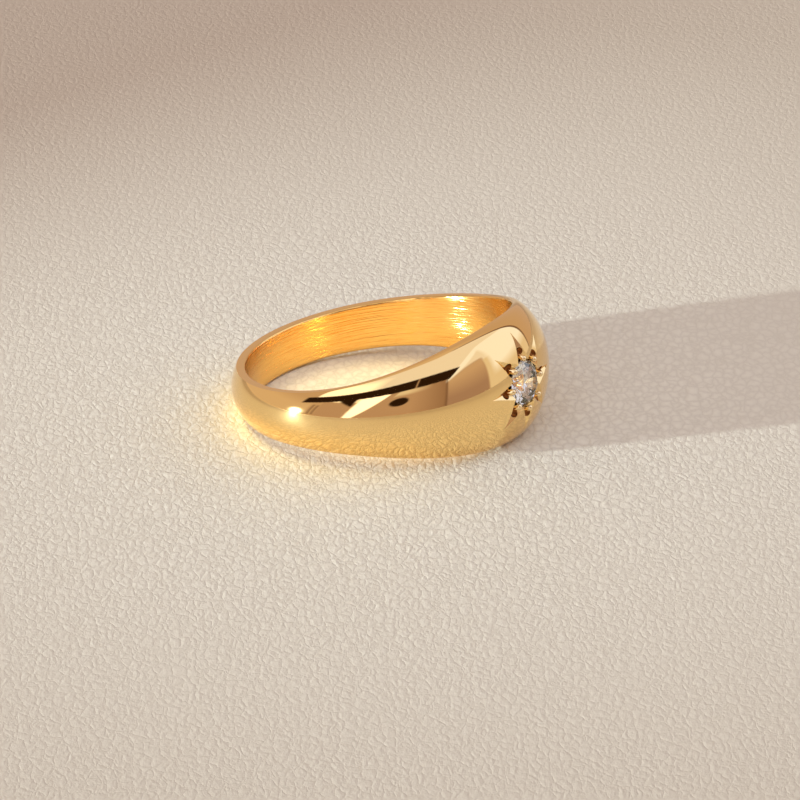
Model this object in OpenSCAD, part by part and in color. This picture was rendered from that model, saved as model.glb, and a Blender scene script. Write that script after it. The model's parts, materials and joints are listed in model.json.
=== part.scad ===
// Flush set gypsy ring: a tapered, domed gold band that lies on its side,
// with one round brilliant sunk into its broad head inside an engraved
// eight-rayed star. All sizes are in millimetres.
//
// The ring is drawn with its finger axis along Z and its head towards -Y,
// then laid down on its lower rim, with the head raised by the taper.

/* [Finger hole] */
// Inside diameter, about a US size 7
bore_d = 17.3; // [15:0.1:21]
// Rounding of the two inner edges
rim_round = 0.15; // [0.08:0.01:0.25]

/* [Band width along the finger] */
// Width at the head
head_w = 7.95; // [6.5:0.05:9]
// Width at the back of the finger
back_w = 2.9; // [2.2:0.1:4]
// How fast the shoulders narrow: higher is faster
shoulder_n = 3.7; // [2:0.1:5]
// Share of the narrowing that is spread evenly to the back
even_share = 0.22; // [0:0.02:0.5]

/* [Metal thickness] */
// Thickness on the crest of the head
head_t = 2.2; // [2.1:0.05:3]
// Thickness on the crest at the back
back_t = 1.1; // [0.9:0.05:1.6]
// How fast the bulge of the head falls away: higher is faster
bulge_n = 4; // [3:0.5:12]
// Straight side wall under the dome at the head
head_edge_t = 0.2; // [0.2:0.05:0.6]
// Straight side wall under the dome at the back
back_edge_t = 0.6; // [0.4:0.05:0.8]
// Roundness of the dome away from the head: 0 is a flat oval, 1 is a full curve
back_round = 1; // [0:0.1:1]
// How fast the head's oval gives way to it: higher is faster
round_n = 6; // [2:0.5:9]

/* [Stone] */
// Diameter of the brilliant
stone_d = 2.95; // [2.4:0.05:3.1]
// Table width as a share of the diameter
table_share = 0.58; // [0.52:0.01:0.64]
// Slope of the crown facets, in degrees
crown_a = 33; // [30:0.5:36]
// Slope of the pavilion facets, in degrees
pavilion_a = 40.8; // [39:0.2:42]
// Height of the girdle
girdle_h = 0.09; // [0.06:0.01:0.12]
// Depth of the girdle's upper edge under the crest of the head
stone_sink = 0.28; // [0.22:0.01:0.35]
// Clearance between the stone and its seat
seat_gap = 0.04; // [0.03:0.01:0.06]

/* [Engraved star] */
// Number of rays
ray_count = 8; // [6:2:8]
// Distance from point to point across the star
star_d = 6.6; // [6.3:0.1:6.6]
// Depth of a ray's cut where it meets the stone
ray_depth = 0.42; // [0.34:0.01:0.42]
// Width of a ray where it meets the stone
ray_w = 1.3; // [1.06:0.02:1.3]
// How hollow a ray's sides are: 1 is straight
ray_curve = 1.2; // [1:0.05:1.5]
// Diameter of the pit cut behind each grain
pit_d = 0.66; // [0.6:0.02:0.72]
// Diameter of a raised grain that holds the stone
grain_d = 0.38; // [0.3:0.02:0.44]

/* [Hidden] */

bore_r = bore_d / 2;
crest_r = bore_r + head_t;
stone_r = stone_d / 2;
table_r = stone_r * table_share;
crown_h = (stone_r - table_r) * tan(crown_a);
pavilion_h = stone_r * tan(pavilion_a);

// The outer body is a mesh of sections, one every few degrees
SECTIONS = 96;
DOME_STEPS = 20;
ROUND_FN = 96;
// The sections reach this far into the hole, which is then bored out
bore_skin = 0.3;
// A cut reaches this far past the face that it opens
past = 0.6;

// Share of the head's form at an angle from the head: 1 there, 0 at the back
function head_share(a) = (1 + cos(a)) / 2;
function half_width(a) =
    let (s = head_share(a), fall = (1 - even_share) * pow(s, shoulder_n) + even_share * s)
    (back_w + (head_w - back_w) * fall) / 2;
function crest_thickness(a) = back_t + (head_t - back_t) * pow(head_share(a), bulge_n);
function edge_thickness(a) =
    back_edge_t + (head_edge_t - back_edge_t) * pow(head_share(a), 2);

// Height of the dome across the band, from 1 on the crest to 0 at its edges
function dome_share(a, across) =
    let (full = back_round * (1 - pow(head_share(a), round_n)), inside = max(0, 1 - across * across))
    full * inside + (1 - full) * sqrt(inside);
// Radius of the dome at an angle and a height along the finger
function dome_r(a, z) =
    let (e = edge_thickness(a))
    bore_r + e + (crest_thickness(a) - e) * dome_share(a, z / half_width(a));

// One half section from the bore to the edge of the dome, as radius and height.
// Its first chord runs on into the hole, so the bore cuts it at a clear angle.
CHORD_RISE = tan(67.5);
function rim_points(a) =
    let (h = half_width(a), c = rim_round, f = 1 - cos(45))
    [[bore_r - bore_skin, h - c - bore_skin * CHORD_RISE],
     [bore_r + c * f, h - c * f],
     [bore_r + c, h]];
function section(a) =
    let (h = half_width(a), rim = rim_points(a))
    concat(
        [for (p = rim) [p[0], -p[1]]],
        [for (i = [0:DOME_STEPS])
            let (z = h * sin(-90 + 180 * i / DOME_STEPS)) [dome_r(a, z), z]],
        [for (i = [len(rim) - 1:-1:0]) rim[i]]);

section_angles = [for (i = [0:SECTIONS - 1]) 360 * i / SECTIONS];
section_len = len(section(0));
body_points = [for (a = section_angles) for (p = section(a))
    [p[0] * sin(a), -p[0] * cos(a), p[1]]];
body_faces = [for (i = [0:SECTIONS - 1]) for (j = [0:section_len - 1])
    let (k = (i + 1) % SECTIONS, l = (j + 1) % section_len,
         p = i * section_len + j, q = i * section_len + l,
         r = k * section_len + l, s = k * section_len + j)
    each [[p, q, r], [p, r, s]]];

// The grain is a stub of metal raised from the ray's floor and pressed inwards,
// with the pit that the graver leaves behind it. Places count from the stone's
// axis and from the crest of the head.
grain_r = grain_d / 2;
grain_x = stone_r + 0.9 * grain_r;
grain_z = -stone_sink + 0.75 * grain_r;
root_x = stone_r + 1.85 * grain_r;
root_z = -stone_sink - 1.95 * grain_r;
root_r = 0.8 * grain_r;
pit_x = root_x + 0.36 * pit_d;
pit_z = -stone_sink - 0.02;

// The ring touches the surface under the head's inner edge and the back's
// outer edge, which sets its tilt. It then stands on z = 0, centred on x and y,
// where the lowest grain reaches furthest forward.
lie_a = atan((half_width(0) - half_width(180)) / (2 * bore_r + rim_round + back_edge_t));
lain_y = [for (p = body_points) p[1] * cos(lie_a) + p[2] * sin(lie_a)];
lain_z = [for (p = body_points) p[2] * cos(lie_a) - p[1] * sin(lie_a)];
grain_y = -(crest_r + grain_z) * cos(lie_a) - grain_x * sin(lie_a) - grain_r;
rest_y = -(min(concat(lain_y, [grain_y])) + max(lain_y)) / 2;
rest_z = -min(lain_z);

// Depth of the outer surface under the crest of the head, at a place given by
// its distance along the arc and along the finger
function surface_drop(x, y, a = 0, rounds = 5) =
    rounds == 0
    ? crest_r - dome_r(a, y) * cos(a)
    : surface_drop(x, y, asin(x / dome_r(a, y)), rounds - 1);

// The ray's floor: its width and depth shrink together from the stone to the tip
RAY_STEPS = 5;
RAY_TIP = 0.02;
tip_r = star_d / 2;
V_SLOPE = (ray_w / 2) / ray_depth;
function ray_cut(r) = ray_depth * pow(max(RAY_TIP, (tip_r - r) / (tip_r - stone_r)), ray_curve);

module laid_down() {
    translate([0, rest_y, rest_z]) rotate([-lie_a, 0, 0]) children();
}

// Puts children on the crest of the head, with +Z outwards and +Y along the finger
module on_head() {
    translate([0, -crest_r, 0]) rotate([90, 0, 0]) children();
}

module around_stone() {
    for (i = [0:ray_count - 1]) rotate(i * 360 / ray_count) children();
}

// A V-shaped groove whose floor follows the domed head
module ray(heading) {
    radii = [for (i = [0:RAY_STEPS]) stone_r / 2 + (tip_r - stone_r / 2) * i / RAY_STEPS];
    points = [for (r = radii)
        let (top = -surface_drop(r * cos(heading), r * sin(heading)),
             depth = ray_cut(max(r, stone_r)), half = V_SLOPE * (depth + past))
        each [[r, 0, top - depth], [r, half, top + past], [r, -half, top + past]]];
    last = 3 * RAY_STEPS;
    faces = concat(
        [[0, 1, 2], [last, last + 2, last + 1]],
        [for (i = [0:RAY_STEPS - 1]) for (j = [0:2])
            let (k = (j + 1) % 3, p = 3 * i)
            each [[p + j, p + 3 + j, p + 3 + k], [p + j, p + 3 + k, p + k]]]);
    polyhedron(points, faces);
}

module star_cut() {
    for (i = [0:ray_count - 1])
        let (heading = i * 360 / ray_count)
        rotate(heading) ray(heading);
}

// Drawn along +X, leaning towards the stone
module grain() {
    lean = atan((root_x - grain_x) / (grain_z - root_z));
    reach = norm([root_x - grain_x, grain_z - root_z]);
    translate([grain_x, 0, grain_z]) sphere(r = grain_r, $fn = 32);
    translate([root_x, 0, root_z]) rotate([0, -lean, 0])
        cylinder(h = reach, r = root_r, $fn = 32);
}

module pit() {
    translate([pit_x, 0, pit_z]) sphere(d = pit_d, $fn = 32);
}

// The stone's seat, from the open top down to a hole that lets light in
module seat() {
    seat_r = stone_r + seat_gap;
    hole_r = 0.5 * stone_r;
    girdle_z = -stone_sink - girdle_h - seat_gap / 2;
    cone_h = (seat_r - hole_r) * tan(pavilion_a);
    translate([0, 0, girdle_z]) cylinder(h = stone_sink + past, r = seat_r, $fn = ROUND_FN);
    translate([0, 0, girdle_z - cone_h])
        cylinder(h = cone_h, r1 = hole_r, r2 = seat_r, $fn = ROUND_FN);
    translate([0, 0, -head_t - past])
        cylinder(h = head_t + past - stone_sink, r = hole_r, $fn = ROUND_FN);
}

module band() {
    color("gold") laid_down() {
        difference() {
            polyhedron(body_points, body_faces);
            translate([0, 0, -head_w]) cylinder(h = 2 * head_w, r = bore_r, $fn = ROUND_FN);
            on_head() {
                seat();
                star_cut();
                around_stone() pit();
            }
        }
        on_head() around_stone() grain();
    }
}

// A round brilliant with its girdle's upper edge at z = 0
MAINS = 8;
MAIN_A = 360 / MAINS;
HALF_A = MAIN_A / 2;
// Where the star facets end, as a share of the way from the table to the girdle
STAR_REACH = 0.52;
// Where the lower halves end, as a share of the stone's radius
LOWER_REACH = 0.24;
// Straight edges of the girdle, four to a girdle facet
EDGES = 4;
GIRDLE_SIDES = 2 * MAINS * EDGES;

star_r = table_r + (stone_r - table_r) * STAR_REACH;
lower_r = stone_r * LOWER_REACH;
// A main facet holds every point whose distance along its heading sets its height
star_z = (stone_r - star_r * cos(HALF_A)) * tan(crown_a);
lower_z = -girdle_h - (stone_r - lower_r * cos(HALF_A)) * tan(pavilion_a);

function circle_point(r, a, z) = [r * cos(a), r * sin(a), z];
function main_ring(r, z, turn = 0) = [for (i = [0:MAINS - 1]) circle_point(r, i * MAIN_A + turn, z)];

// A girdle facet is flat, so its round outer edge dips by how far it bulges
function girdle_bulge(a) =
    let (middle = HALF_A / 2, off = a % HALF_A - middle)
    stone_r * (cos(off) - cos(middle)) / cos(middle);
function girdle_ring(z, end_r, end_z) =
    [for (j = [0:GIRDLE_SIDES - 1])
        let (a = j * 360 / GIRDLE_SIDES)
        circle_point(stone_r, a, z - (end_z - z) * girdle_bulge(a) / (stone_r - end_r))];

// Faces that run from a ring of MAINS points to a ring of girdle points
function main_facets(inner, outer, tip, side) =
    [for (i = [0:MAINS - 1])
        let (left = tip + (i + MAINS - 1) % MAINS, right = tip + i, far = outer + 2 * EDGES * i,
             near = inner < 0 ? -inner : inner + i)
        side > 0 ? [near, right, far, left] : [near, left, far, right]];
function girdle_facets(outer, tip, side) =
    [for (i = [0:MAINS - 1]) for (half = [0, 1])
        let (start = (2 * i + half) * EDGES,
             edge = [for (j = [0:EDGES]) outer + (start + j) % GIRDLE_SIDES])
        side > 0
        ? concat([tip + i], [for (j = [EDGES:-1:0]) edge[j]])
        : concat([tip + i], edge)];

module brilliant() {
    table = 0;
    stars = table + MAINS;
    upper = stars + MAINS;
    lower = upper + GIRDLE_SIDES;
    tips = lower + GIRDLE_SIDES;
    culet = tips + MAINS;
    points = concat(
        main_ring(table_r, crown_h),
        main_ring(star_r, star_z, HALF_A),
        girdle_ring(0, star_r, star_z),
        girdle_ring(-girdle_h, lower_r, lower_z),
        main_ring(lower_r, lower_z, HALF_A),
        [[0, 0, -girdle_h - pavilion_h]]);
    faces = concat(
        [[for (i = [MAINS - 1:-1:0]) table + i]],
        [for (i = [0:MAINS - 1]) [table + i, table + (i + 1) % MAINS, stars + i]],
        main_facets(table, upper, stars, 1),
        girdle_facets(upper, stars, 1),
        [for (j = [0:GIRDLE_SIDES - 1])
            let (k = (j + 1) % GIRDLE_SIDES)
            [upper + j, upper + k, lower + k, lower + j]],
        girdle_facets(lower, tips, -1),
        main_facets(-culet, lower, tips, -1));
    polyhedron(points, faces);
}

module diamond() {
    color("aliceblue") laid_down() on_head() translate([0, 0, -stone_sink]) brilliant();
}

band();
diamond();
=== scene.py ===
"""Looks of a flush set gypsy ring: a tapered, domed gold band that lies on its side.

The band is made by a Geometry Nodes tree from the same rule as the solid: its form first, then the
engraved star, the pits and the stone's seat are cut from it, and the grains are added. The brilliant
keeps its solid and gets a diamond's finish. The tree works in millimetres, in the ring's own frame,
with the finger axis along Z and the head towards -Y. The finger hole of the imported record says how
the ring lies.
"""

import json
import logging
import math
from dataclasses import dataclass, field, fields
from enum import Enum
from typing import Any

import bpy
from mathutils import Matrix, Vector


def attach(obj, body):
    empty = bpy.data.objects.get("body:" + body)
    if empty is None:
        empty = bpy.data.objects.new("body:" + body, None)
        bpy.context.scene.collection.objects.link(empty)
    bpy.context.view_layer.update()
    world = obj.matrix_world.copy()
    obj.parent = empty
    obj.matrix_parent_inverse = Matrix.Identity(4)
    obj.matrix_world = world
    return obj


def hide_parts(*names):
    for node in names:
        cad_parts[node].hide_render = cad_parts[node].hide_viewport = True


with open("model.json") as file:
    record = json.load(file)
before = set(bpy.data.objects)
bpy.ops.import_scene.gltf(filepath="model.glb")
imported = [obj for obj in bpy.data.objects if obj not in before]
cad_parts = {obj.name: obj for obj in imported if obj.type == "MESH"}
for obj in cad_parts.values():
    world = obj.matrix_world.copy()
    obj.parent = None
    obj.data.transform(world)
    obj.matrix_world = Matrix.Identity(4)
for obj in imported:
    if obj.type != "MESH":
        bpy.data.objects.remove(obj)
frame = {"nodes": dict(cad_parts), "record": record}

LOG = logging.getLogger("gypsy_ring")
MM = 0.001
ROOT = "root"
HALF_TURN = math.pi
QUARTER_TURN = math.pi / 2.0
FULL_TURN = 2.0 * math.pi
DEGREES_ROUND = 360.0
DEGREES_UP = 90.0
NOISE_MIDDLE = 0.5
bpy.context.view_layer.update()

Colour = tuple[float, float, float, float]
Feed = Any


class Signal:
    """A value that runs through a node tree, so that maths on it reads as Python."""

    def __init__(self, board: "Board", socket: bpy.types.NodeSocket) -> None:
        """Wraps a socket.

        Args:
            board: The tree that the socket belongs to.
            socket: The output that carries the value.
        """
        self.board = board
        self.socket = socket

    def _maths(self, operation: str, *values: Feed) -> "Signal":
        """One Math node on some values.

        Args:
            operation: The Math node's operation.
            values: What goes in, in order.

        Returns:
            The node's value.
        """
        return self.board.out("ShaderNodeMath", 0, {"operation": operation}, dict(enumerate(values)))

    def __add__(self, other: Feed) -> "Signal":
        """Sum."""
        return self._maths("ADD", self, other)

    def __radd__(self, other: float) -> "Signal":
        """Sum with a number in front."""
        return self._maths("ADD", other, self)

    def __sub__(self, other: Feed) -> "Signal":
        """Difference."""
        return self._maths("SUBTRACT", self, other)

    def __rsub__(self, other: float) -> "Signal":
        """Difference from a number."""
        return self._maths("SUBTRACT", other, self)

    def __mul__(self, other: Feed) -> "Signal":
        """Product."""
        return self._maths("MULTIPLY", self, other)

    def __rmul__(self, other: float) -> "Signal":
        """Product with a number in front."""
        return self._maths("MULTIPLY", other, self)

    def __truediv__(self, other: Feed) -> "Signal":
        """Quotient."""
        return self._maths("DIVIDE", self, other)

    def __rtruediv__(self, other: float) -> "Signal":
        """A number divided by this."""
        return self._maths("DIVIDE", other, self)

    def __pow__(self, other: Feed) -> "Signal":
        """Power."""
        return self._maths("POWER", self, other)

    def __neg__(self) -> "Signal":
        """Opposite."""
        return self._maths("MULTIPLY", self, -1.0)

    def __abs__(self) -> "Signal":
        """Size without its sign."""
        return self._maths("ABSOLUTE", self)

    def sin(self) -> "Signal":
        """Sine of an angle in radians."""
        return self._maths("SINE", self)

    def cos(self) -> "Signal":
        """Cosine of an angle in radians."""
        return self._maths("COSINE", self)

    def arcsin(self) -> "Signal":
        """Angle in radians whose sine this is."""
        return self._maths("ARCSINE", self)

    def sqrt(self) -> "Signal":
        """Square root."""
        return self._maths("SQRT", self)

    def at_least(self, other: Feed) -> "Signal":
        """The larger of this and another value."""
        return self._maths("MAXIMUM", self, other)

    def above(self, other: Feed) -> "Signal":
        """1 where this is larger than another value, else 0."""
        return self._maths("GREATER_THAN", self, other)

    def held(self) -> "Signal":
        """This value, held between 0 and 1."""
        return self._maths("MINIMUM", self.at_least(0.0), 1.0)

    def ramp(self, start: Feed, end: Feed) -> "Signal":
        """A straight climb.

        Args:
            start: Value where the climb begins.
            end: Value where it ends, below or above start.

        Returns:
            0 up to start and 1 from end on.
        """
        return ((self - start) / (end - start)).held()

    def is_at(self, step: float) -> "Signal":
        """1 where this counts exactly a whole step, and 0 a step away from it."""
        return (1.0 - abs(self - step)).at_least(0.0)


@dataclass
class Board:
    """A node tree that is being written, for a material, a world or a shape."""

    tree: bpy.types.NodeTree

    def add(self, kind: str, settings: dict[str, Any] | None = None,
            values: dict[str | int, Feed] | None = None) -> bpy.types.Node:
        """Adds a node.

        Args:
            kind: The node's type.
            settings: Properties, which are set first.
            values: What goes into its sockets, by name or place: a value, a Signal or a list of Signals.

        Returns:
            The node.
        """
        node = self.tree.nodes.new(kind)
        for name, value in (settings or {}).items():
            setattr(node, name, value)
        for key, value in (values or {}).items():
            for one in value if isinstance(value, list) else [value]:
                if isinstance(one, Signal):
                    self.tree.links.new(one.socket, node.inputs[key])
                else:
                    node.inputs[key].default_value = one
        return node

    def out(self, kind: str, output: str | int = 0, settings: dict[str, Any] | None = None,
            values: dict[str | int, Feed] | None = None) -> Signal:
        """Adds a node and gives one of its outputs.

        Args:
            kind: The node's type.
            output: The output's name or place.
            settings: Properties, which are set first.
            values: What goes into its sockets.

        Returns:
            The output.
        """
        return Signal(self, self.add(kind, settings, values).outputs[output])

    def vector(self, x: Feed, y: Feed, z: Feed) -> Signal:
        """A vector from three values."""
        return self.out("ShaderNodeCombineXYZ", values={"X": x, "Y": y, "Z": z})

    def parts(self, vector: Signal) -> tuple[Signal, ...]:
        """The three values of a vector."""
        node = self.add("ShaderNodeSeparateXYZ", values={"Vector": vector})
        return tuple(Signal(self, node.outputs[axis]) for axis in "XYZ")

    def blend(self, share: Feed, start: Feed, end: Feed) -> Signal:
        """A colour between two others.

        Args:
            share: 0 gives start and 1 gives end.
            start: A colour.
            end: The other colour.

        Returns:
            The mixed colour.
        """
        names = {"Factor_Float": share, "A_Color": start, "B_Color": end}
        node = self.add("ShaderNodeMix", {"data_type": "RGBA", "clamp_factor": True})
        for socket in node.inputs:
            if socket.identifier in names:
                value = names[socket.identifier]
                if isinstance(value, Signal):
                    self.tree.links.new(value.socket, socket)
                else:
                    socket.default_value = value
        return next(Signal(self, s) for s in node.outputs if s.identifier == "Result_Color")


def new_material(name: str) -> tuple[bpy.types.Material, Board]:
    """An empty material.

    Args:
        name: The material's name.

    Returns:
        The material, and the board that its nodes are written on.
    """
    material = bpy.data.materials.new(name)
    material.use_nodes = True
    material.node_tree.nodes.clear()
    return material, Board(material.node_tree)


def heading(azimuth: float, elevation: float) -> Vector:
    """The way to an azimuth and an elevation.

    Args:
        azimuth: Degrees, with 0 on the side that the head faces.
        elevation: Degrees above the surface.

    Returns:
        A vector of length 1.
    """
    turn, rise = math.radians(azimuth), math.radians(elevation)
    return Vector((math.sin(turn) * math.cos(rise), -math.cos(turn) * math.cos(rise), math.sin(rise)))


@dataclass(frozen=True)
class Lay:
    """How the ring lies on the surface."""

    middle: Vector
    axis: Vector

    @classmethod
    def of_record(cls, record: dict[str, Any]) -> "Lay":
        """Reads the finger hole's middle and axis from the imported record."""
        hole = record["mounts"][0]
        return cls(Vector(hole["pos_m"]), Vector(hole["axis"]).normalized())

    @property
    def tilt(self) -> float:
        """Turn about X that lays the upright ring down, in radians."""
        return -math.atan2(self.axis.y, self.axis.z)

    @property
    def outwards(self) -> Vector:
        """The way that the head faces."""
        return Matrix.Rotation(self.tilt, 3, "X") @ Vector((0.0, -1.0, 0.0))

    def ring_place(self, board: Board) -> Signal:
        """Places on a surface, for a material.

        Args:
            board: The material's tree.

        Returns:
            The place in the ring's own frame, in millimetres.
        """
        return board.out("ShaderNodeMapping", 0, {"vector_type": "TEXTURE"}, {
            "Vector": board.out("ShaderNodeTexCoord", "Object"), "Location": self.middle,
            "Rotation": (self.tilt, 0.0, 0.0), "Scale": (MM, MM, MM)})


@dataclass(frozen=True)
class GoldFinish:
    """Yellow gold, a mirror outside and brushed round the finger inside, where a deeper gold is painted in
    for the light bounced between the gold walls. Lengths are in millimetres.
    """

    colour: Colour = (0.99, 0.69, 0.29, 1.0)
    bounce_tinted_colour: Colour = (0.94, 0.60, 0.195, 1.0)
    polish: float = 0.035
    wear: float = 0.05
    brushed: float = 0.15
    brush_spread: float = 0.1
    skin: float = 0.12
    lines_per_mm: float = 9.0
    waves_per_mm: float = 0.12
    line_detail: float = 3.0
    brush_depth: float = 0.034
    rubs_per_mm: float = 2.4
    rub_detail: float = 4.0
    noise_rough: float = 0.6

    def make(self, lay: Lay, bore_r: float) -> bpy.types.Material:
        """Writes the material.

        Args:
            lay: How the ring lies.
            bore_r: Radius of the finger hole, in millimetres.

        Returns:
            The gold.
        """
        material, board = new_material("yellow_gold")
        ring = lay.ring_place(board)
        x, y, z = board.parts(ring)
        radius = (x * x + y * y).sqrt()
        inside = radius.ramp(bore_r + self.skin, bore_r + self.skin / 2.0)
        lines = board.out("ShaderNodeTexNoise", "Fac", values={
            "Vector": board.vector(x * self.waves_per_mm, y * self.waves_per_mm, z * self.lines_per_mm),
            "Scale": 1.0, "Detail": self.line_detail, "Roughness": self.noise_rough})
        rubbed = board.out("ShaderNodeTexNoise", "Fac", values={
            "Vector": ring, "Scale": self.rubs_per_mm, "Detail": self.rub_detail,
            "Roughness": self.noise_rough})
        outside_rough = self.polish + (rubbed - NOISE_MIDDLE).at_least(0.0) * self.wear
        inside_rough = self.brushed + (lines - NOISE_MIDDLE) * self.brush_spread
        bump = board.out("ShaderNodeBump", "Normal", values={
            "Height": lines * inside, "Strength": 1.0, "Distance": self.brush_depth * MM})
        # Painted light: inside the ring the gold takes a deeper, more saturated tone, which stands in for
        # light bounced between the gold walls
        shader = board.out("ShaderNodeBsdfPrincipled", values={
            "Base Color": board.blend(inside, self.colour, self.bounce_tinted_colour), "Metallic": 1.0,
            "Roughness": outside_rough * (1.0 - inside) + inside_rough * inside, "Normal": bump})
        board.add("ShaderNodeOutputMaterial", values={"Surface": shader})
        return material


@dataclass(frozen=True)
class CutFinish:
    """Plain gold of one tone, for what the graver leaves. Its dark copy paints shade into the pits, and its
    pale copy paints a highlight on the grains.
    """

    name: str
    colour: Colour
    rough: float

    def make(self) -> bpy.types.Material:
        """Writes the material.

        Returns:
            The cut gold.
        """
        material, board = new_material(self.name)
        shader = board.out("ShaderNodeBsdfPrincipled", values={
            "Base Color": self.colour, "Metallic": 1.0, "Roughness": self.rough})
        board.add("ShaderNodeOutputMaterial", values={"Surface": shader})
        return material


@dataclass(frozen=True)
class DiamondFinish:
    """Clear polished facets, with a fine frosted girdle. The tints balance the bluish room."""

    tint: Colour = (1.0, 0.93, 0.76, 1.0)
    glint_tint: Colour = (1.0, 0.93, 0.72, 1.0)
    bend: float = 2.42
    frost: float = 0.3
    frost_start: float = 0.985
    frost_full: float = 0.995

    def make(self, middle: Vector, axis: Vector, radius: float) -> bpy.types.Material:
        """Writes the material.

        Args:
            middle: A point on the stone's axis, in metres.
            axis: The stone's axis.
            radius: The girdle's radius, in metres.

        Returns:
            The diamond.
        """
        material, board = new_material("diamond_facets")
        place = board.out("ShaderNodeTexCoord", "Object")
        off = board.out("ShaderNodeVectorMath", 0, {"operation": "SUBTRACT"}, {0: place, 1: middle})
        along = board.out("ShaderNodeVectorMath", "Value", {"operation": "DOT_PRODUCT"}, {0: off, 1: axis})
        length = board.out("ShaderNodeVectorMath", "Value", {"operation": "LENGTH"}, {0: off})
        out = (length * length - along * along).sqrt()
        girdle = out.ramp(radius * self.frost_start, radius * self.frost_full)
        shader = board.out("ShaderNodeBsdfPrincipled", values={
            "Base Color": self.tint, "Roughness": girdle * self.frost, "IOR": self.bend,
            "Specular Tint": self.glint_tint, "Transmission Weight": 1.0})
        board.add("ShaderNodeOutputMaterial", values={"Surface": shader})
        return material


@dataclass(frozen=True)
class LeatherFinish:
    """Cream leather with a fine pebbled grain, and painted shade that darkens it away from the ring and
    more towards one far corner. Lengths are in millimetres.
    """

    colour: Colour = (0.86, 0.81, 0.64, 1.0)
    crease: Colour = (0.70, 0.64, 0.49, 1.0)
    round_painted_shade: Colour = (0.62, 0.54, 0.40, 1.0)
    round_start: float = 14.0
    round_end: float = 75.0
    far_painted_shade: Colour = (0.52, 0.42, 0.305, 1.0)
    shade_azimuth: float = 165.0
    shade_start: float = 20.0
    shade_end: float = 60.0
    shade_n: float = 2.0
    pebble: float = 0.6
    stretch: float = 1.55
    stretch_azimuth: float = 122.0
    wander_per_pebble: float = 1.1
    wander_reach: float = 1.2
    crease_reach: float = 0.4
    pores_per_pebble: float = 2.6
    noise_detail: float = 3.0
    noise_rough: float = 0.6
    swell_share: float = 0.6
    pore_share: float = 0.9
    bump_strength: float = 0.7
    depth: float = 0.058
    rough: float = 0.65
    sheen_level: float = 0.25
    crisp_r: float = 11.0
    soft_r: float = 40.0
    soft_share: float = 0.5

    def make(self) -> bpy.types.Material:
        """Writes the material.

        Returns:
            The leather.
        """
        material, board = new_material("cream_leather")
        x, y, _ = board.parts(board.out("ShaderNodeTexCoord", "Object"))
        along, across = heading(self.stretch_azimuth, 0.0), heading(self.stretch_azimuth + 90.0, 0.0)
        place = board.vector(x * across.x + y * across.y, (x * along.x + y * along.y) / self.stretch, 0.0)
        per_metre = 1.0 / (self.pebble * MM)
        wander = board.out("ShaderNodeTexNoise", "Color", values={
            "Vector": place, "Scale": per_metre * self.wander_per_pebble, "Detail": self.noise_detail})
        pushed = board.out("ShaderNodeVectorMath", 0, {"operation": "MULTIPLY_ADD"}, {
            0: wander, 1: (self.pebble * MM * self.wander_reach,) * 3, 2: place})
        crease = board.out("ShaderNodeTexVoronoi", "Distance", {"feature": "DISTANCE_TO_EDGE"}, {
            "Vector": pushed, "Scale": per_metre})
        swell = crease.ramp(0.0, self.crease_reach).sqrt()
        pores = board.out("ShaderNodeTexNoise", "Fac", values={
            "Vector": place, "Scale": per_metre * self.pores_per_pebble, "Detail": self.noise_detail,
            "Roughness": self.noise_rough})
        # The grain is finest and crispest about the ring and fades away from it
        off = (x * x + y * y).sqrt()
        fade = 1.0 - self.soft_share * off.ramp(self.crisp_r * MM, self.soft_r * MM)
        bump = board.out("ShaderNodeBump", "Normal", values={
            "Height": (swell * self.swell_share + pores * self.pore_share) * fade,
            "Strength": self.bump_strength, "Distance": self.depth * MM})
        # Painted shade: the leather darkens further towards one far corner, as the light falls off there
        away = heading(self.shade_azimuth, 0.0)
        shade = (x * away.x + y * away.y).ramp(self.shade_start * MM, self.shade_end * MM) ** self.shade_n
        grain = board.blend(1.0 - (1.0 - swell) * fade, self.crease, self.colour)
        # Painted shade: the leather darkens away from the ring, as the light falls off
        shaded = board.blend(off.ramp(self.round_start * MM, self.round_end * MM), grain, self.round_painted_shade)
        shader = board.out("ShaderNodeBsdfPrincipled", values={
            "Base Color": board.blend(shade, shaded, self.far_painted_shade), "Roughness": self.rough,
            "Specular IOR Level": self.sheen_level, "Normal": bump})
        board.add("ShaderNodeOutputMaterial", values={"Surface": shader})
        return material


@dataclass(frozen=True)
class BandSizes:
    """The band's sizes in millimetres. In the tree, each is the input that carries it."""

    bore_r: Feed = 8.65
    rim_round: Feed = 0.15
    head_w: Feed = 7.95
    back_w: Feed = 2.9
    shoulder_n: Feed = 3.7
    even_share: Feed = 0.22
    head_t: Feed = 2.2
    back_t: Feed = 1.1
    bulge_n: Feed = 4.0
    head_edge_t: Feed = 0.2
    back_edge_t: Feed = 0.6
    edge_n: Feed = 2.0
    round_n: Feed = 6.0
    stone_r: Feed = 1.475
    stone_sink: Feed = 0.28
    pavilion_slope: Feed = 0.863
    girdle_h: Feed = 0.09
    seat_gap: Feed = 0.04
    tip_r: Feed = 3.3
    ray_depth: Feed = 0.42
    ray_w: Feed = 1.3
    ray_curve: Feed = 1.2
    pit_r: Feed = 0.33
    grain_r: Feed = 0.19
    past: Feed = 0.6

    def as_inputs(self, board: Board) -> "BandSizes":
        """The same sizes as named inputs of a tree.

        Args:
            board: The tree.

        Returns:
            The sizes, each one a Signal.
        """
        for size in fields(self):
            board.tree.interface.new_socket(size.name, in_out="INPUT", socket_type="NodeSocketFloat")
        node = board.add("NodeGroupInput")
        return BandSizes(**{size.name: Signal(board, node.outputs[size.name]) for size in fields(self)})


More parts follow.
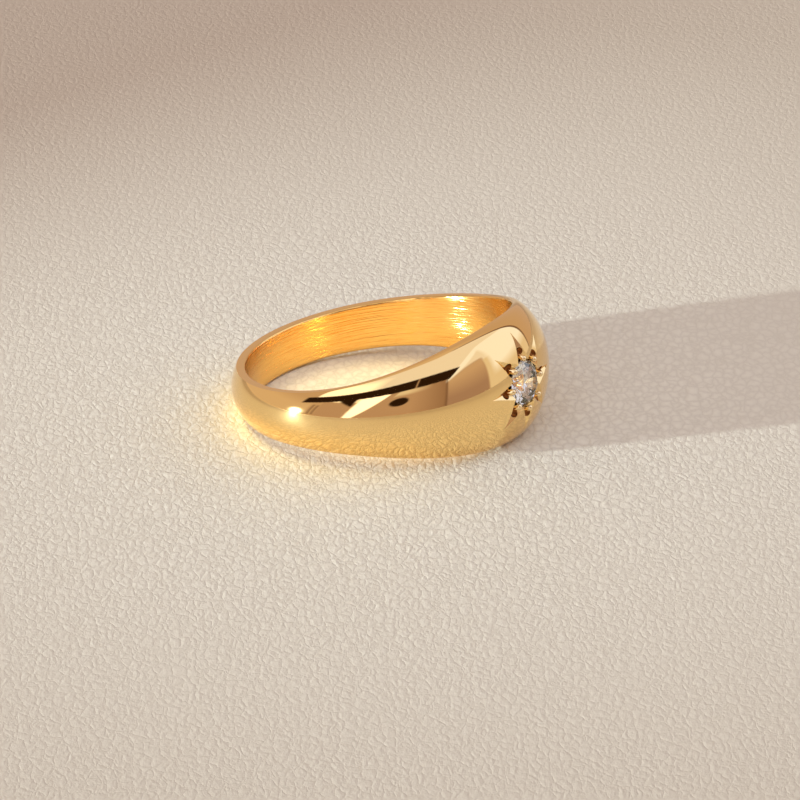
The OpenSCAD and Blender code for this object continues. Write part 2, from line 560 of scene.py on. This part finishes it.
@dataclass
class Band:
    """The tapered gold band with its star, seat, pits and grains.

    The pits and grains are placed by shares of their radii, and sunk by millimetres.
    """

    lay: Lay
    finish: GoldFinish = field(default_factory=GoldFinish)
    # The pits take a dark copy of the gold: painted shade in the recesses
    pit_shade_finish: CutFinish = CutFinish("pits_painted_shade", (0.24, 0.085, 0.02, 1.0), 0.3)
    # The grains take a paler copy of the gold: a painted highlight
    grain_highlight_finish: CutFinish = CutFinish("grains_painted_highlight", (1.0, 0.76, 0.40, 1.0), 0.12)
    sizes: BandSizes = field(default_factory=BandSizes)
    rays: int = 8
    columns: int = 440
    dome_rows: int = 84
    bore_rows: int = 10
    arc_rows: int = 6
    wall_rows: int = 3
    settle_rounds: int = 4
    ray_steps: int = 12
    ray_corners: int = 4
    blunt_share: float = 0.02
    hole_share: float = 0.5
    pit_past_grain: float = 1.85
    pit_out: float = 0.72
    pit_sink: float = 0.02
    grain_out: float = 0.9
    grain_up: float = 0.75
    grain_lean_sine: float = 0.36
    stem_stretch: float = 2.2
    round_sides: int = 96
    bead_sides: int = 32
    head_crowding: float = 0.72
    sharp_angle: float = math.radians(28.0)
    same_place: float = 0.0005

    @staticmethod
    def section_at(board: Board, sizes: BandSizes, angle: Signal) -> dict[str, Signal]:
        """The band's section at an angle from the head.

        Args:
            board: The tree.
            sizes: The band's sizes.
            angle: Angle from the head, in radians.

        Returns:
            Half the width, the crest's and the edge's thickness, and how parabolic the dome is.
        """
        share = (1.0 + angle.cos()) / 2.0
        fall = (1.0 - sizes.even_share) * share ** sizes.shoulder_n + sizes.even_share * share
        return {
            "half": (sizes.back_w + (sizes.head_w - sizes.back_w) * fall) / 2.0,
            "crest": sizes.back_t + (sizes.head_t - sizes.back_t) * share ** sizes.bulge_n,
            "edge": sizes.back_edge_t + (sizes.head_edge_t - sizes.back_edge_t) * share ** sizes.edge_n,
            "full": 1.0 - share ** sizes.round_n,
        }

    @staticmethod
    def dome_radius(sizes: BandSizes, section: dict[str, Signal], across: Signal) -> Signal:
        """Distance of the outer face from the finger axis.

        Args:
            sizes: The band's sizes.
            section: The section at this angle.
            across: Place across the band, from -1 to 1.

        Returns:
            The distance.
        """
        inside = (1.0 - across * across).at_least(0.0)
        dome = section["full"] * inside + (1.0 - section["full"]) * inside.sqrt()
        return sizes.bore_r + section["edge"] + (section["crest"] - section["edge"]) * dome

    def form(self, board: Board, sizes: BandSizes) -> Signal:
        """The plain band: columns round the finger, and rows round the section.

        Args:
            board: The tree.
            sizes: The band's sizes.

        Returns:
            The closed mesh.
        """
        inner_rows = self.bore_rows + self.arc_rows + self.wall_rows
        rows = self.dome_rows + 2 * inner_rows
        grid = board.add("GeometryNodeMeshGrid", values={
            "Size X": 1.0, "Size Y": 1.0, "Vertices X": self.columns + 1, "Vertices Y": rows + 1})
        u, v, _ = board.parts(Signal(board, grid.outputs["UV Map"]))
        angle = u * FULL_TURN - self.head_crowding * (u * FULL_TURN).sin()
        section = self.section_at(board, sizes, angle)
        row = v * rows
        across = (row.ramp(0.0, self.dome_rows) * HALF_TURN - QUARTER_TURN).sin()
        dome_r = self.dome_radius(sizes, section, across)
        dome_z = across * section["half"]
        # Rows of the inner face, counted from its middle to each of its two edges
        count = self.dome_rows + inner_rows - row
        side = count.above(0.0) * 2.0 - 1.0
        bore = abs(count).ramp(0.0, self.bore_rows)
        arc = abs(count).ramp(self.bore_rows, self.bore_rows + self.arc_rows) * QUARTER_TURN
        wall = abs(count).ramp(self.bore_rows + self.arc_rows, inner_rows)
        inner_z = side * ((section["half"] - sizes.rim_round) * bore + sizes.rim_round * arc.sin())
        inner_r = (sizes.bore_r + sizes.rim_round * (1.0 - arc.cos())
                   + (section["edge"] - sizes.rim_round) * wall)
        is_inner = row.above(self.dome_rows + 0.5)
        radius = dome_r + (inner_r - dome_r) * is_inner
        height = dome_z + (inner_z - dome_z) * is_inner
        place = board.vector(radius * angle.sin(), -(radius * angle.cos()), height)
        shaped = board.out("GeometryNodeSetPosition", values={
            "Geometry": Signal(board, grid.outputs["Mesh"]), "Position": place})
        return board.out("GeometryNodeMergeByDistance", values={
            "Geometry": shaped, "Distance": self.same_place})

    def surface_drop(self, board: Board, sizes: BandSizes, x: Signal, y: Signal) -> Signal:
        """Depth of the outer face under the crest of the head.

        Args:
            board: The tree.
            sizes: The band's sizes.
            x: Distance from the stone's middle along the arc.
            y: Distance from it along the finger.

        Returns:
            The depth.
        """
        crest_r = sizes.bore_r + sizes.head_t
        radius = crest_r
        for _ in range(self.settle_rounds):
            angle = (x / radius).arcsin()
            section = self.section_at(board, sizes, angle)
            radius = self.dome_radius(sizes, section, y / section["half"])
        return crest_r - radius * (x / radius).arcsin().cos()

    def around_stone(self, board: Board, shape: Signal) -> Signal:
        """Copies of a shape round the stone's axis, one for each ray, each with its turn kept.

        Args:
            board: The tree.
            shape: A mesh drawn along +X.

        Returns:
            The copies as one mesh.
        """
        points = board.out("GeometryNodePoints", values={"Count": self.rays})
        turn = board.out("GeometryNodeInputIndex") * (FULL_TURN / self.rays)
        copies = board.out("GeometryNodeInstanceOnPoints", values={
            "Points": points, "Instance": shape, "Rotation": board.vector(0.0, 0.0, turn)})
        kept = board.out("GeometryNodeStoreNamedAttribute", 0, {
            "data_type": "FLOAT", "domain": "INSTANCE"}, {
            "Geometry": copies, "Name": "turn", "Value": turn})
        return board.out("GeometryNodeRealizeInstances", values={"Geometry": kept})

    def star(self, board: Board, sizes: BandSizes) -> Signal:
        """Cutters for the engraved rays: V grooves that follow the domed head.

        Args:
            board: The tree.
            sizes: The band's sizes.

        Returns:
            The cutters.
        """
        last = self.ray_steps + 2
        grid = board.add("GeometryNodeMeshGrid", values={
            "Size X": 1.0, "Size Y": 1.0, "Vertices X": last + 1, "Vertices Y": self.ray_corners})
        u, v, _ = board.parts(Signal(board, grid.outputs["UV Map"]))
        step, corner = u * last, v * float(self.ray_corners - 1)
        is_end = step.is_at(0) + step.is_at(last)
        start = sizes.stone_r / 2.0
        reach = start + (sizes.tip_r - start) * step.ramp(1.0, last - 1.0)
        left = (sizes.tip_r - reach.at_least(sizes.stone_r)) / (sizes.tip_r - sizes.stone_r)
        depth = sizes.ray_depth * left.at_least(self.blunt_share) ** sizes.ray_curve
        half = (depth + sizes.past) * (sizes.ray_w / 2.0 / sizes.ray_depth)
        first, second = corner.is_at(1), corner.is_at(2)
        across = (first - second) * half * (1.0 - is_end)
        rise = (first + second) * (depth + sizes.past) - depth
        # Each end closes on a point inside its triangle
        rise = rise * (1.0 - is_end)
        groove = board.out("GeometryNodeSetPosition", values={
            "Geometry": Signal(board, grid.outputs["Mesh"]), "Position": board.vector(reach, across, rise)})
        closed = board.out("GeometryNodeMergeByDistance", values={
            "Geometry": groove, "Distance": self.same_place})
        kept = board.out("GeometryNodeStoreNamedAttribute", 0, {
            "data_type": "FLOAT", "domain": "POINT"}, {
            "Geometry": closed, "Name": "reach", "Value": board.parts(
                board.out("GeometryNodeInputPosition"))[0]})
        around = self.around_stone(board, kept)
        far, turn = (board.out("GeometryNodeInputNamedAttribute", 0, {"data_type": "FLOAT"}, {
            "Name": name}) for name in ("reach", "turn"))
        drop = self.surface_drop(board, sizes, far * turn.cos(), far * turn.sin())
        return board.out("GeometryNodeSetPosition", values={
            "Geometry": around, "Offset": board.vector(0.0, 0.0, -drop)})

    def lathe(self, board: Board, profile: list[tuple[Feed, Feed]]) -> Signal:
        """A closed round shape about the stone's axis.

        Args:
            board: The tree.
            profile: Radius and height of each corner, from the top of the axis to its foot.

        Returns:
            The mesh.
        """
        last = len(profile) - 1
        grid = board.add("GeometryNodeMeshGrid", values={
            "Size X": 1.0, "Size Y": 1.0, "Vertices X": self.round_sides + 1, "Vertices Y": last + 1})
        u, v, _ = board.parts(Signal(board, grid.outputs["UV Map"]))
        corner, angle = v * last, u * FULL_TURN
        radius = height = 0.0
        for index, (corner_r, corner_z) in enumerate(profile):
            here = corner.is_at(index)
            radius = here * corner_r + radius
            height = here * corner_z + height
        shaped = board.out("GeometryNodeSetPosition", values={
            "Geometry": Signal(board, grid.outputs["Mesh"]),
            "Position": board.vector(radius * angle.cos(), radius * angle.sin(), height)})
        return board.out("GeometryNodeMergeByDistance", values={
            "Geometry": shaped, "Distance": self.same_place})

    def seat(self, board: Board, sizes: BandSizes) -> Signal:
        """Cutter for the stone's seat and the light hole under it.

        Args:
            board: The tree.
            sizes: The band's sizes.

        Returns:
            The cutter.
        """
        seat_r = sizes.stone_r + sizes.seat_gap
        hole_r = sizes.stone_r * self.hole_share
        girdle_z = -sizes.stone_sink - sizes.girdle_h - sizes.seat_gap / 2.0
        cone_z = girdle_z - (seat_r - hole_r) * sizes.pavilion_slope
        foot_z = -sizes.head_t - sizes.past
        return self.lathe(board, [
            (0.0, sizes.past), (seat_r, sizes.past), (seat_r, girdle_z), (hole_r, cone_z),
            (hole_r, foot_z), (0.0, foot_z)])

    def pits(self, board: Board, sizes: BandSizes) -> Signal:
        """Cutters for the round pits behind the grains.

        Args:
            board: The tree.
            sizes: The band's sizes.

        Returns:
            The cutters.
        """
        ball = board.out("GeometryNodeMeshUVSphere", values={
            "Segments": self.bead_sides, "Rings": self.bead_sides // 2, "Radius": sizes.pit_r})
        reach = sizes.stone_r + sizes.grain_r * self.pit_past_grain + sizes.pit_r * self.pit_out
        placed = board.out("GeometryNodeTransform", values={
            "Geometry": ball,
            "Translation": board.vector(reach, 0.0, -sizes.stone_sink - self.pit_sink)})
        return self.around_stone(board, placed)

    def grains(self, board: Board, sizes: BandSizes) -> Signal:
        """The beads of metal that are raised from the rays' floors and lean on the stone's edge.

        Args:
            board: The tree.
            sizes: The band's sizes.

        Returns:
            The grains.
        """
        ball = board.out("GeometryNodeMeshUVSphere", values={
            "Segments": self.bead_sides, "Rings": self.bead_sides // 2, "Radius": sizes.grain_r})
        _, _, z = board.parts(board.out("GeometryNodeInputPosition"))
        drawn = board.out("GeometryNodeSetPosition", values={
            "Geometry": ball, "Offset": board.vector(0.0, 0.0, (-z).at_least(0.0) * -self.stem_stretch)})
        reach = sizes.stone_r + sizes.grain_r * self.grain_out
        placed = board.out("GeometryNodeTransform", values={
            "Geometry": drawn, "Rotation": (0.0, -math.asin(self.grain_lean_sine), 0.0),
            "Translation": board.vector(reach, 0.0, sizes.grain_r * self.grain_up - sizes.stone_sink)})
        return self.around_stone(board, placed)

    def on_head(self, board: Board, sizes: BandSizes, shape: Signal) -> Signal:
        """Puts a shape that is drawn upwards about the stone's axis on the crest of the head.

        Args:
            board: The tree.
            sizes: The band's sizes.
            shape: The shape.

        Returns:
            The shape in its place.
        """
        return board.out("GeometryNodeTransform", values={
            "Geometry": shape, "Rotation": (QUARTER_TURN, 0.0, 0.0),
            "Translation": board.vector(0.0, -(sizes.bore_r + sizes.head_t), 0.0)})

    def write_tree(self) -> bpy.types.NodeTree:
        """Writes the tree that makes the whole band.

        Returns:
            The tree.
        """
        gold = self.finish.make(self.lay, self.sizes.bore_r)
        pit_shade_gold, grain_highlight_gold = self.pit_shade_finish.make(), self.grain_highlight_finish.make()
        tree = bpy.data.node_groups.new("gypsy_band", "GeometryNodeTree")
        board = Board(tree)
        sizes = self.sizes.as_inputs(board)
        tree.interface.new_socket("Geometry", in_out="OUTPUT", socket_type="NodeSocketGeometry")
        shapes = {"form": (self.form(board, sizes), gold), "star": (self.star(board, sizes), gold),
                  "seat": (self.seat(board, sizes), gold), "pits": (self.pits(board, sizes), pit_shade_gold),
                  "grains": (self.grains(board, sizes), grain_highlight_gold)}
        dressed = {name: board.out("GeometryNodeSetMaterial", values={
            "Geometry": shape, "Material": finish}) for name, (shape, finish) in shapes.items()}
        cutter = board.out("GeometryNodeMeshBoolean", "Mesh", {"operation": "UNION", "solver": "EXACT"}, {
            "Mesh 2": [dressed["star"], dressed["pits"], dressed["seat"]], "Self Intersection": True})
        cut = board.out("GeometryNodeMeshBoolean", "Mesh", {"operation": "DIFFERENCE", "solver": "EXACT"}, {
            "Mesh 1": dressed["form"], "Mesh 2": [self.on_head(board, sizes, cutter)]})
        whole = board.out("GeometryNodeMeshBoolean", "Mesh", {"operation": "UNION", "solver": "EXACT"}, {
            "Mesh 2": [cut, self.on_head(board, sizes, dressed["grains"])]})
        smooth = board.out("GeometryNodeSetShadeSmooth", 0, {"domain": "FACE"}, {
            "Geometry": whole, "Shade Smooth": True})
        edge = board.out("GeometryNodeInputMeshEdgeAngle", "Unsigned Angle")
        creased = board.out("GeometryNodeSetShadeSmooth", 0, {"domain": "EDGE"}, {
            "Geometry": smooth, "Selection": edge.above(self.sharp_angle), "Shade Smooth": False})
        laid = board.out("GeometryNodeTransform", values={
            "Geometry": creased, "Translation": self.lay.middle, "Rotation": (self.lay.tilt, 0.0, 0.0),
            "Scale": (MM, MM, MM)})
        realized = board.out("GeometryNodeRealizeInstances", values={"Geometry": laid})
        is_cut = [board.out("GeometryNodeMaterialSelection", values={"Material": finish})
                  for finish in (pit_shade_gold, grain_highlight_gold)]
        finished = board.out("GeometryNodeSetMaterial", values={
            "Geometry": realized, "Material": gold, "Selection": 1.0 - (is_cut[0] + is_cut[1])})
        board.add("NodeGroupOutput", values={"Geometry": finished})
        return tree

    def build(self) -> bpy.types.Object:
        """Makes the band and gives it its place on the part.

        Returns:
            The finished piece.
        """
        maker = bpy.data.objects.new("band_maker", bpy.data.meshes.new("band_maker"))
        bpy.context.scene.collection.objects.link(maker)
        modifier = maker.modifiers.new("form", "NODES")
        modifier.node_group = self.write_tree()
        for item in modifier.node_group.interface.items_tree:
            if item.in_out == "INPUT":
                modifier[item.identifier] = getattr(self.sizes, item.name)
        graph = bpy.context.evaluated_depsgraph_get()
        mesh = bpy.data.meshes.new_from_object(maker.evaluated_get(graph), depsgraph=graph)
        bpy.data.objects.remove(maker)
        mesh.name = "polished_band"
        band = bpy.data.objects.new("polished_band", mesh)
        bpy.context.scene.collection.objects.link(band)
        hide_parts("band")
        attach(band, ROOT)
        return band


@dataclass
class Stone:
    """The round brilliant, which keeps its solid."""

    lay: Lay
    sizes: BandSizes
    finish: DiamondFinish = field(default_factory=DiamondFinish)

    def dress(self, solid: bpy.types.Object) -> None:
        """Gives the solid its finish.

        Args:
            solid: The part's own diamond.
        """
        girdle_out = (self.sizes.bore_r + self.sizes.head_t - self.sizes.stone_sink) * MM
        middle = self.lay.middle + self.lay.outwards * girdle_out
        material = self.finish.make(middle, self.lay.outwards, self.sizes.stone_r * MM)
        for slot in solid.material_slots:
            slot.material = material


class Tone(Enum):
    """Tones of the room that the gold mirrors. They are bluish, because gold takes the blue out."""

    WINDOW = (1.7, 1.66, 1.8)
    CREAM = (1.04, 1.14, 1.55)
    PALE = (0.90, 0.90, 1.08)
    SAND = (0.80, 0.73, 0.70)
    DOOR = (2.0, 1.9, 2.2)
    WALL = (0.505, 0.36, 0.31)
    DEEP_WALL = (0.32, 0.205, 0.165)
    SIDE_WALL = (0.395, 0.275, 0.265)
    SIDE_TOP = (0.60, 0.455, 0.40)
    ROOM = (0.58, 0.43, 0.35)
    FAR_ROOM = (0.70, 0.55, 0.45)
    FRAME = (0.20, 0.12, 0.09)
    LINE = (0.16, 0.09, 0.07)
    DARK = (0.025, 0.012, 0.006)


@dataclass(frozen=True)
class Edge:
    """A soft edge on the studio's dome: where it is, and how it moves with the other angle, in degrees."""

    at: float
    slope: float = 0.0
    bow: float = 0.0
    pivot: float = 0.0
    soft: float = 1.5

    def passed(self, angle: float, other: float) -> float:
        """How far an angle is past the edge.

        Args:
            angle: The angle that the edge bounds.
            other: The angle that the edge runs along.

        Returns:
            0 before the edge and 1 after it.
        """
        off = other - self.pivot
        place = self.at + off * (self.slope + off * self.bow)
        return min(max((angle - place) / self.soft + 0.5, 0.0), 1.0)


@dataclass(frozen=True)
class Pane:
    """A panel of light or shade on the studio's dome, as the ring sees it."""

    left: Edge
    right: Edge
    foot: Edge
    top: Edge
    tone: Tone

    def cover(self, azimuth: float, elevation: float) -> float:
        """How much of the dome the panel covers at a place.

        Args:
            azimuth: Degrees.
            elevation: Degrees.

        Returns:
            1 on the panel and 0 off it.
        """
        share = self.left.passed(azimuth, elevation) * (1.0 - self.right.passed(azimuth, elevation))
        if share > 0.0:
            share *= self.foot.passed(elevation, azimuth) * (1.0 - self.top.passed(elevation, azimuth))
        return share


@dataclass
class Studio:
    """The leather, the room's soft light about the ring, the lamps and the camera.

    Angles are in degrees, the ring's and the camera's distances in millimetres, the room's in metres.
    """

    floor_side: float = 3.0
    dome_r: float = 2.3
    dome_start: float = 120.0
    dome_columns: int = 360
    dome_rows: int = 90
    dome_strength: float = 1.0
    ceiling: Edge = Edge(62.5, soft=25.0)
    lamp_azimuth: float = 228.8
    lamp_elevation: float = 4.5
    lamp_away: float = 1.5
    lamp_r: float = 0.024
    lamp_watts: float = 54.0
    lamp_colour: tuple[float, float, float] = (0.84, 0.97, 1.05)
    glow_away: float = 90.0
    glow_r: float = 8.3
    glow_watts: float = 0.28
    glow_size: float = 1.0
    glow_blend: float = 0.5
    glow_colour: tuple[float, float, float] = (1.0, 0.80, 0.45)
    air: Colour = (0.93, 0.87, 0.79, 1.0)
    air_strength: float = 0.75
    lens_azimuth: float = 298.0
    lens_elevation: float = 22.0
    lens_span: float = 6.3
    haze: tuple[float, float, float] = (20.0, 22.0, 26.0)
    haze_span: float = 3.0
    camera_azimuth: float = 302.411
    camera_elevation: float = 24.362
    camera_away: float = 290.348
    camera_right: float = 0.4904
    camera_up: float = -2.9855
    camera_aim: tuple[float, float, float] = (0.0, 0.0221, 4.0)
    camera_roll: float = -0.719
    camera_view: float = 10.0
    camera_near: float = 10.0
    camera_far: float = 10000.0
    leather: LeatherFinish = field(default_factory=LeatherFinish)

    def panes(self) -> list[Pane]:
        """The room about the ring. Azimuths run from 120 to 480 degrees, so 360 is the head's side.

        Returns:
            The panels, the nearest last.
        """
        under, over = Edge(-5.0), Edge(95.0)
        strip_foot = Edge(37.3, bow=-0.0033, pivot=302.0, soft=0.6)
        strip_top = Edge(50.0, bow=-0.0037, pivot=305.0, soft=0.8)
        frame_left = Edge(431.5, slope=0.3, pivot=20.0, soft=1.0)
        frame_right = Edge(434.5, slope=0.4, pivot=20.0, soft=1.0)
        side_top = Edge(38.0, bow=-0.0092, pivot=361.0, soft=3.0)
        screen_top = Edge(60.0, bow=-0.0077, pivot=392.0, soft=1.0)
        screen_foot = Edge(31.0, slope=0.5, pivot=334.0, soft=3.0)
        return [
            Pane(Edge(150.0, soft=10.0), Edge(236.0), under, Edge(22.0, soft=12.0), Tone.FAR_ROOM),
            Pane(Edge(234.0), frame_left, Edge(32.0), over, Tone.PALE),
            Pane(Edge(234.0), Edge(268.0, soft=12.0), Edge(28.0), Edge(58.0, soft=14.0), Tone.WINDOW),
            Pane(Edge(243.0), Edge(266.0), under, Edge(27.0), Tone.WALL),
            Pane(Edge(264.0, slope=0.12), Edge(270.0, slope=0.5), under, Edge(37.0), Tone.DOOR),
            Pane(Edge(270.0, slope=0.5), Edge(334.0), under, Edge(42.0), Tone.WALL),
            Pane(Edge(321.0, soft=26.0), Edge(334.0), under, Edge(42.0), Tone.DEEP_WALL),
            Pane(Edge(276.0, slope=0.5), Edge(312.0, soft=20.0), Edge(32.0, soft=4.0), Edge(42.0),
                 Tone.SAND),
            Pane(Edge(334.0), Edge(371.0, soft=4.0), under, side_top, Tone.SIDE_WALL),
            Pane(Edge(334.0), Edge(371.0, soft=4.0), Edge(20.0, soft=22.0), side_top, Tone.SIDE_TOP),
            Pane(Edge(371.0), frame_left, under, Edge(33.0), Tone.SAND),
            Pane(Edge(378.0, soft=6.0), frame_left, Edge(13.0, soft=10.0), screen_top, Tone.CREAM),
            Pane(Edge(333.0), frame_left, screen_foot, screen_top, Tone.CREAM),
            Pane(frame_left, frame_right, under, Edge(80.0), Tone.FRAME),
            Pane(Edge(333.2), Edge(334.4), under, Edge(34.0), Tone.LINE),
            Pane(Edge(238.0), Edge(239.2), Edge(2.0), Edge(20.0), Tone.LINE),
            Pane(Edge(241.0), Edge(242.2), Edge(2.0), Edge(20.0), Tone.LINE),
            Pane(Edge(228.0), Edge(335.0, slope=1.25, pivot=33.0, soft=1.0), strip_foot, strip_top,
                 Tone.DARK),
            Pane(Edge(249.0), Edge(265.0), Edge(30.0, slope=-0.7, pivot=252.0), Edge(36.0), Tone.DARK),
            Pane(Edge(306.4, soft=1.0), Edge(307.6, soft=1.0), strip_foot, strip_top, Tone.WALL),
        ]

    def floor(self) -> bpy.types.Object:
        """Lays the leather.

        Returns:
            The sheet.
        """
        half = self.floor_side / 2.0
        mesh = bpy.data.meshes.new("leather")
        corners = [(-half, -half, 0.0), (half, -half, 0.0), (half, half, 0.0), (-half, half, 0.0)]
        mesh.from_pydata(corners, [], [(0, 1, 2, 3)])
        mesh.materials.append(self.leather.make())
        floor = bpy.data.objects.new("leather", mesh)
        bpy.context.scene.collection.objects.link(floor)
        return floor

    def tone_at(self, azimuth: float, elevation: float, panes: list[Pane], lens: Vector) -> Vector:
        """The room's tone in a direction.

        Args:
            azimuth: Degrees.
            elevation: Degrees.
            panes: The room's panels, the nearest last.
            lens: The way to the photographer's lens.

        Returns:
            The colour.
        """
        high = self.ceiling.passed(elevation, azimuth)
        tone = Vector(Tone.ROOM.value).lerp(Vector(Tone.FAR_ROOM.value), high)
        for pane in panes:
            share = pane.cover(azimuth, elevation)
            if share > 0.0:
                tone = tone.lerp(Vector(pane.tone.value), share)
        # A soft glow is painted on the dome about the low lamp, which widens the lamp's hot spot in the
        # gold
        way, lamp = heading(azimuth, elevation), heading(self.lamp_azimuth, self.lamp_elevation)
        thin = math.degrees(way.angle(lamp, 0.0)) / self.haze_span
        tone = tone + Vector(self.haze) * math.exp(-thin * thin)
        beyond = Edge(self.lens_span, soft=1.0).passed(math.degrees(way.angle(lens, 0.0)), 0.0)
        return Vector(Tone.DARK.value).lerp(tone, beyond)

    def room_glow(self, tones: str) -> bpy.types.Material:
        """Writes the dome's material, which glows in the tones painted on it.

        Args:
            tones: Name of the attribute that holds the tones.

        Returns:
            The material.
        """
        material, board = new_material("room_glow")
        glow = board.out("ShaderNodeEmission", values={
            "Color": board.out("ShaderNodeAttribute", "Color", {"attribute_name": tones}),
            "Strength": self.dome_strength})
        board.add("ShaderNodeOutputMaterial", values={"Surface": glow})
        material.cycles.emission_sampling = "NONE"
        return material

    def dome(self) -> bpy.types.Object:
        """The room as a dome that only lights and mirrors see.

        Returns:
            The dome.
        """
        panes, lens = self.panes(), heading(self.lens_azimuth, self.lens_elevation)
        places, tones, faces = [], [], []
        for row in range(self.dome_rows + 1):
            for column in range(self.dome_columns):
                azimuth = self.dome_start + DEGREES_ROUND * column / self.dome_columns
                elevation = DEGREES_UP * row / self.dome_rows
                places.append(heading(azimuth, elevation) * self.dome_r)
                tones.extend((*self.tone_at(azimuth, elevation, panes, lens), 1.0))
        for row in range(self.dome_rows):
            low, high = row * self.dome_columns, (row + 1) * self.dome_columns
            for column in range(self.dome_columns):
                following = (column + 1) % self.dome_columns
                faces.append((low + column, high + column, high + following, low + following))
        mesh = bpy.data.meshes.new("room_dome")
        mesh.from_pydata(places, [], faces)
        mesh.color_attributes.new("room_tone", "FLOAT_COLOR", "POINT").data.foreach_set("color", tones)
        mesh.materials.append(self.room_glow("room_tone"))
        dome = bpy.data.objects.new("room_dome", mesh)
        dome.visible_camera = False
        bpy.context.scene.collection.objects.link(dome)
        return dome

    def light(self) -> None:
        """Sets the plain air behind all and the low lamp."""
        world = bpy.data.worlds.new("soft_air")
        bpy.context.scene.world = world
        world.use_nodes = True
        world.node_tree.nodes.clear()
        board = Board(world.node_tree)
        air = board.out("ShaderNodeBackground", values={"Color": self.air, "Strength": self.air_strength})
        board.add("ShaderNodeOutputWorld", values={"Surface": air})
        lamp = bpy.data.lights.new("low_lamp", "AREA")
        lamp.shape = "DISK"
        lamp.size = 2.0 * self.lamp_r
        lamp.energy = self.lamp_watts
        lamp.color = self.lamp_colour
        low = bpy.data.objects.new("low_lamp", lamp)
        towards = heading(self.lamp_azimuth, self.lamp_elevation)
        low.location = towards * self.lamp_away
        low.rotation_euler = towards.to_track_quat("Z", "Y").to_euler()
        bpy.context.scene.collection.objects.link(low)

    def inner_glow(self, lay: Lay) -> None:
        """Lights the leather inside the ring, as the sunlit gold about it does.

        Args:
            lay: How the ring lies.
        """
        lamp = bpy.data.lights.new("inner_glow", "SPOT")
        lamp.energy = self.glow_watts
        lamp.color = self.glow_colour
        lamp.shadow_soft_size = self.glow_size * MM
        lamp.spot_size = 2.0 * math.atan(self.glow_r / self.glow_away)
        lamp.spot_blend = self.glow_blend
        glow = bpy.data.objects.new("inner_glow", lamp)
        glow.location = lay.middle + lay.axis * (self.glow_away * MM)
        glow.rotation_euler = lay.axis.to_track_quat("Z", "Y").to_euler()
        glow.visible_glossy = False
        glow.visible_transmission = False
        bpy.context.scene.collection.objects.link(glow)

    def camera(self) -> None:
        """Sets the camera where the photographer stood."""
        turn = math.radians(self.camera_azimuth)
        back = heading(self.camera_azimuth, self.camera_elevation)
        right = Vector((math.cos(turn), math.sin(turn), 0.0))
        up = back.cross(right)
        place = (Vector(self.camera_aim) + right * self.camera_right + up * self.camera_up
                 + back * self.camera_away) * MM
        roll = math.radians(self.camera_roll)
        across = right * math.cos(roll) + up * math.sin(roll)
        upwards = up * math.cos(roll) - right * math.sin(roll)
        data = bpy.data.cameras.new("photographer")
        data.sensor_fit = "AUTO"
        data.angle = math.radians(self.camera_view)
        data.clip_start, data.clip_end = self.camera_near * MM, self.camera_far * MM
        camera = bpy.data.objects.new("photographer", data)
        camera.matrix_world = (Matrix.Translation(place)
                               @ Matrix((across, upwards, back)).transposed().to_4x4())
        bpy.context.scene.collection.objects.link(camera)
        bpy.context.scene.camera = camera

    def build(self, lay: Lay) -> None:
        """Sets up the whole studio about the ring.

        Args:
            lay: How the ring lies.
        """
        self.floor()
        self.dome()
        self.light()
        self.inner_glow(lay)
        self.camera()
        bpy.context.scene.view_settings.view_transform = "Standard"


def main() -> None:
    """Builds the ring's looks and the studio."""
    logging.basicConfig(level=logging.INFO, format="%(message)s")
    lay = Lay.of_record(frame["record"])
    band = Band(lay)
    piece = band.build()
    LOG.info("%s: %d faces", piece.name, len(piece.data.polygons))
    Stone(lay, band.sizes).dress(frame["nodes"]["diamond"])
    LOG.info("diamond: dressed")
    Studio().build(lay)
    LOG.info("studio: set")


if __name__ == "__main__":
    main()
